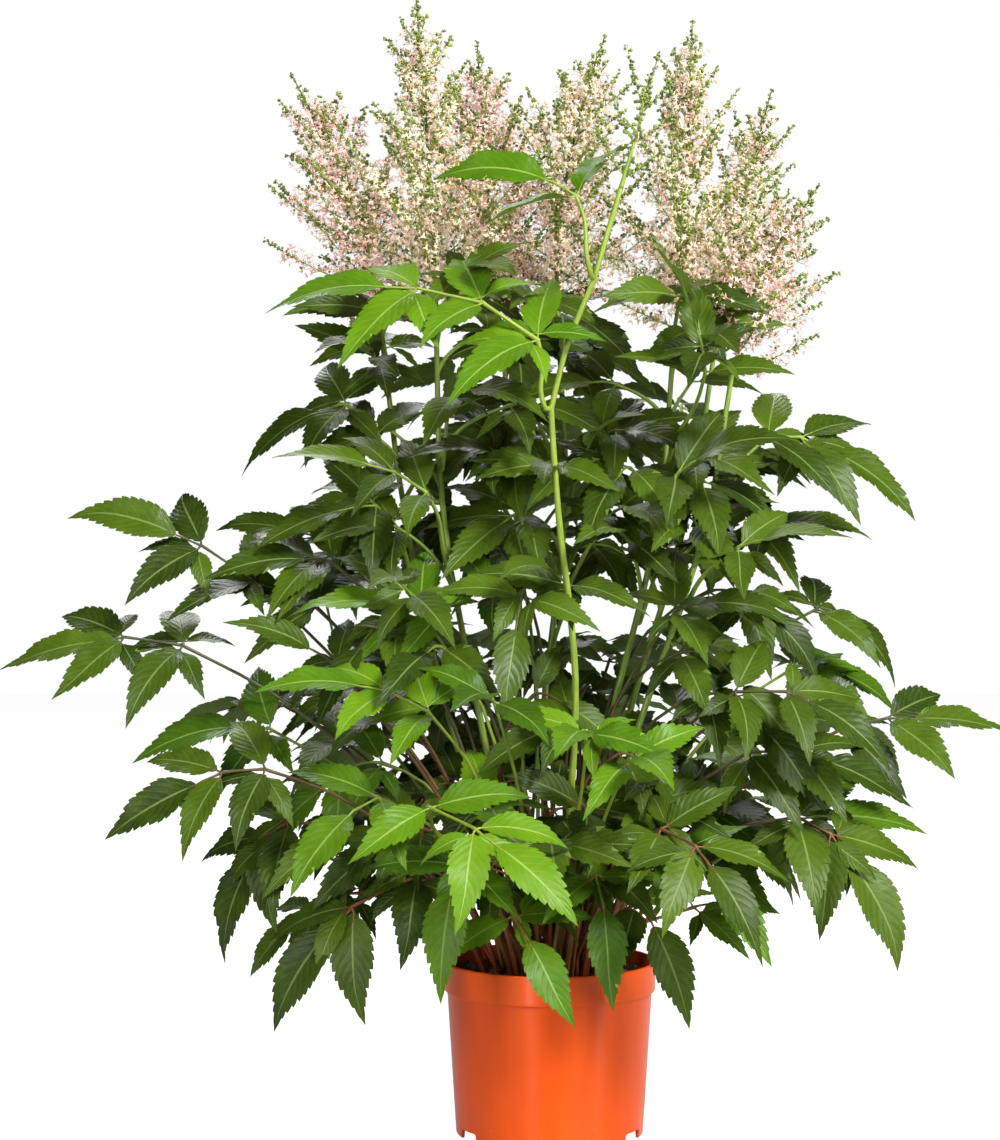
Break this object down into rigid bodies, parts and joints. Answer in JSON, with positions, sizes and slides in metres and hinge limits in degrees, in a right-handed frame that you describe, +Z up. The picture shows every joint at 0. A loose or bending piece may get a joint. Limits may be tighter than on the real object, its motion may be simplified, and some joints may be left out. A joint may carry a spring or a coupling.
{
  "type": "potted astilbe plant",
  "caption": "Flowering astilbe in a round orange nursery pot: toothed compound leaves on thin stalks and feathery pale pink plumes on tall stems.",
  "frame": {"origin": "middle of the pot's flat underside, on the surface that the pot stands on", "axes": "+Z up along the pot's axis and the longest extent of the plant, front of the plant at -Y, +X to the right seen from the front"},
  "size_m": [0.7129, 0.4926, 0.8],
  "materials": {
    "pot_plastic": "smooth moulded orange plastic with a soft gloss",
    "potting_soil": "moist dark peat and bark crumbs",
    "leaf_dark": "semi-gloss deep green leaf with sunken veins, paler below",
    "leaf_mid": "semi-gloss mid green leaf with sunken veins, paler below",
    "leaf_bright": "young bright green leaf and stalk, softer gloss",
    "plume_pink": "airy matte florets, pale pink to cream",
    "plume_cream": "airy matte florets, cream with green stalklets",
    "plume_bud": "unopened green buds"
  },
  "bodies": {
    "root": {"pot": "pot_plastic", "soil": "potting_soil", "flower_stem_1": "leaf_dark", "flower_stem_2": "leaf_dark", "flower_stem_3": "leaf_dark", "flower_stem_4": "leaf_dark", "flower_stem_5": "leaf_bright", "flower_stem_6": "leaf_dark", "flower_stem_7": "leaf_dark", "flower_stem_8": "leaf_dark", "plume_1": "plume_pink", "plume_2": "plume_cream", "plume_3": "plume_pink", "plume_4": "plume_cream", "plume_5": "plume_bud", "plume_6": "plume_cream", "plume_7": "plume_cream", "plume_8": "plume_pink", "leaf_1": "leaf_dark", "leaf_2": "leaf_dark", "leaf_3": "leaf_mid", "leaf_4": "leaf_mid", "leaf_5": "leaf_dark", "leaf_6": "leaf_dark", "leaf_7": "leaf_dark", "leaf_8": "leaf_bright", "leaf_9": "leaf_bright", "leaf_10": "leaf_mid", "leaf_11": "leaf_bright", "leaf_12": "leaf_mid", "leaf_13": "leaf_mid", "leaf_14": "leaf_bright", "leaf_15": "leaf_bright", "leaf_16": "leaf_bright", "leaf_17": "leaf_mid", "leaf_18": "leaf_dark", "leaf_19": "leaf_dark", "leaf_20": "leaf_dark", "leaf_21": "leaf_dark", "leaf_22": "leaf_mid", "leaf_23": "leaf_dark", "leaf_24": "leaf_dark", "leaf_25": "leaf_mid", "leaf_26": "leaf_dark", "leaf_27": "leaf_dark", "leaf_28": "leaf_dark", "leaf_29": "leaf_dark", "leaf_30": "leaf_mid", "leaf_31": "leaf_dark", "leaf_32": "leaf_dark", "leaf_33": "leaf_dark", "leaf_34": "leaf_mid", "leaf_35": "leaf_dark", "leaf_36": "leaf_dark", "leaf_37": "leaf_dark", "leaf_38": "leaf_dark", "leaf_39": "leaf_dark", "leaf_40": "leaf_dark", "leaf_41": "leaf_dark", "leaf_42": "leaf_dark"}
  },
  "joints": []
}
